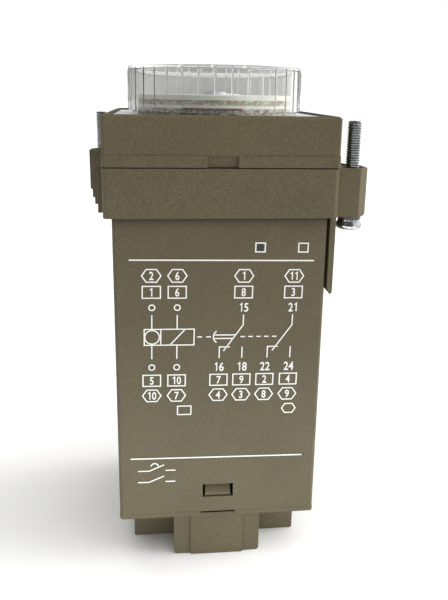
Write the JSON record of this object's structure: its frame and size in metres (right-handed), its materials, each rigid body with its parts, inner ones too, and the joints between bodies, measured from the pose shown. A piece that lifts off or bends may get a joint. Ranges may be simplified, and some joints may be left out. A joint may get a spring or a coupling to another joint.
{
  "type": "plug-in panel timer",
  "caption": "Square-front panel timer: clear ribbed setting knob, slim housing, sliding clamp frame with screws, blade terminals, and a motor, gears, clutch and contacts inside.",
  "frame": {"origin": "centre of the terminal base's rear face, under the middle of the whole part's box", "axes": "+Z from the terminals to the front knob, -Y the labelled side, +X to the right when looking at the labelled side"},
  "size_m": [0.061, 0.048, 0.1119],
  "materials": {
    "body_plastic": "fine moulded texture, olive grey-brown",
    "clear_plastic": "polished clear moulding",
    "pale_plastic": "satin light grey",
    "gear_plastic": "natural acetal",
    "black_plastic": "satin black moulding",
    "red_plastic": "glossy red",
    "zinc_steel": "bright zinc plate",
    "spring_steel": "polished spring steel",
    "brass": "bright brass",
    "copper": "enamelled copper wire",
    "ferrite": "matt sintered ferrite",
    "aluminium": "satin drawn can",
    "board": "green solder mask"
  },
  "bodies": {
    "housing": {"housing_shell": "body_plastic", "bezel_frame": "body_plastic", "dial_plate": "pale_plastic", "dial_drum": "pale_plastic", "terminal_base": "body_plastic", "terminal_1": "brass", "terminal_2": "brass", "terminal_3": "brass", "terminal_4": "brass", "terminal_5": "brass", "terminal_6": "brass", "terminal_7": "brass", "terminal_8": "brass", "terminal_9": "brass", "terminal_10": "brass", "circuit_board": "board", "capacitor": "aluminium", "rectifier": "black_plastic", "rear_plate": "zinc_steel", "front_plate": "zinc_steel", "pillar_1": "brass", "pillar_2": "brass", "pillar_3": "brass", "pillar_4": "brass", "motor_can": "zinc_steel", "motor_cover": "zinc_steel", "motor_bobbin": "gear_plastic", "motor_winding": "copper", "clutch_yoke": "zinc_steel", "clutch_bobbin": "gear_plastic", "clutch_winding": "copper", "return_spring": "spring_steel", "contact_block": "black_plastic", "contact_open_1": "brass", "contact_open_2": "brass", "contact_closed_1": "brass", "contact_closed_2": "brass"},
    "rotor": {"rotor_magnet": "ferrite", "rotor_shaft": "spring_steel"},
    "first_idler": {"idler_1": "gear_plastic"},
    "second_idler": {"idler_2": "gear_plastic"},
    "clutch_drive": {"clutch_wheel": "gear_plastic"},
    "armature": {"clutch_armature": "zinc_steel"},
    "elapsed_spindle": {"spindle": "spring_steel", "clutch_disc": "black_plastic", "trip_arm": "brass", "elapsed_pointer": "pale_plastic"},
    "setting_knob": {"knob_cap": "clear_plastic", "setting_ring": "black_plastic", "setting_mark": "red_plastic"},
    "trip": {"trip_slide": "gear_plastic"},
    "common_spring_1": {"contact_common_1": "brass"},
    "common_spring_2": {"contact_common_2": "brass"},
    "clamp": {"clamp_frame": "body_plastic"},
    "screw_1": {"clamp_screw_1": "zinc_steel", "lock_washer_1": "spring_steel"},
    "screw_2": {"clamp_screw_2": "zinc_steel", "lock_washer_2": "spring_steel"}
  },
  "joints": [
    {"name": "rotor_spin", "type": "hinge", "parent": "housing", "child": "rotor", "pos_m": [0, 0, 0.06], "axis": [0, 0, 1], "continuous": true},
    {"name": "idler_1_spin", "type": "hinge", "parent": "housing", "child": "first_idler", "pos_m": [0.01137, -0.00077, 0.07], "axis": [0, 0, 1], "continuous": true},
    {"name": "idler_2_spin", "type": "hinge", "parent": "housing", "child": "second_idler", "pos_m": [0.01061, 0.01061, 0.0725], "axis": [0, 0, 1], "continuous": true},
    {"name": "clutch_wheel_spin", "type": "hinge", "parent": "housing", "child": "clutch_drive", "pos_m": [0, 0, 0.0738], "axis": [0, 0, 1], "continuous": true},
    {"name": "armature_slide", "type": "slide", "parent": "clutch_drive", "child": "armature", "axis": [0, 0, 1], "range_m": [0, 0.0004], "stiffness_N_per_m": 150, "springref_m": -0.0004},
    {"name": "elapsed_turn", "type": "hinge", "parent": "housing", "child": "elapsed_spindle", "pos_m": [0, 0, 0.09], "axis": [0, 0, -1], "range_deg": [0, 300], "stiffness_Nm_per_rad": 0.0001, "springref_deg": -45.84},
    {"name": "knob_turn", "type": "hinge", "parent": "housing", "child": "setting_knob", "pos_m": [0, 0, 0.105], "axis": [0, 0, -1], "range_deg": [-150, 150]},
    {"name": "trip_travel", "type": "slide", "parent": "housing", "child": "trip", "axis": [-1, 0, 0], "range_m": [0, 0.0008], "stiffness_N_per_m": 100, "springref_m": -0.0008},
    {"name": "common_1_flex", "type": "hinge", "parent": "housing", "child": "common_spring_1", "pos_m": [-0.017, -0.006, 0.074], "axis": [0, -1, 0], "range_deg": [0, 3.8]},
    {"name": "common_2_flex", "type": "hinge", "parent": "housing", "child": "common_spring_2", "pos_m": [-0.017, 0.006, 0.074], "axis": [0, -1, 0], "range_deg": [0, 3.8]},
    {"name": "clamp_slide", "type": "slide", "parent": "housing", "child": "clamp", "axis": [0, 0, -1], "range_m": [0, 0.045]},
    {"name": "screw_1_travel", "type": "slide", "parent": "clamp", "child": "screw_1", "axis": [0, 0, -1], "range_m": [0, 0.012]},
    {"name": "screw_2_travel", "type": "slide", "parent": "clamp", "child": "screw_2", "axis": [0, 0, -1], "range_m": [0, 0.012]}
  ],
  "couplings": [
    {"joint": "idler_1_spin", "follows": "rotor_spin", "ratio": -0.35714},
    {"joint": "idler_2_spin", "follows": "rotor_spin", "ratio": 0.12755},
    {"joint": "clutch_wheel_spin", "follows": "rotor_spin", "ratio": -0.031888},
    {"joint": "common_1_flex", "follows": "trip_travel", "rad_per_m": 82},
    {"joint": "common_2_flex", "follows": "trip_travel", "rad_per_m": 82}
  ]
}
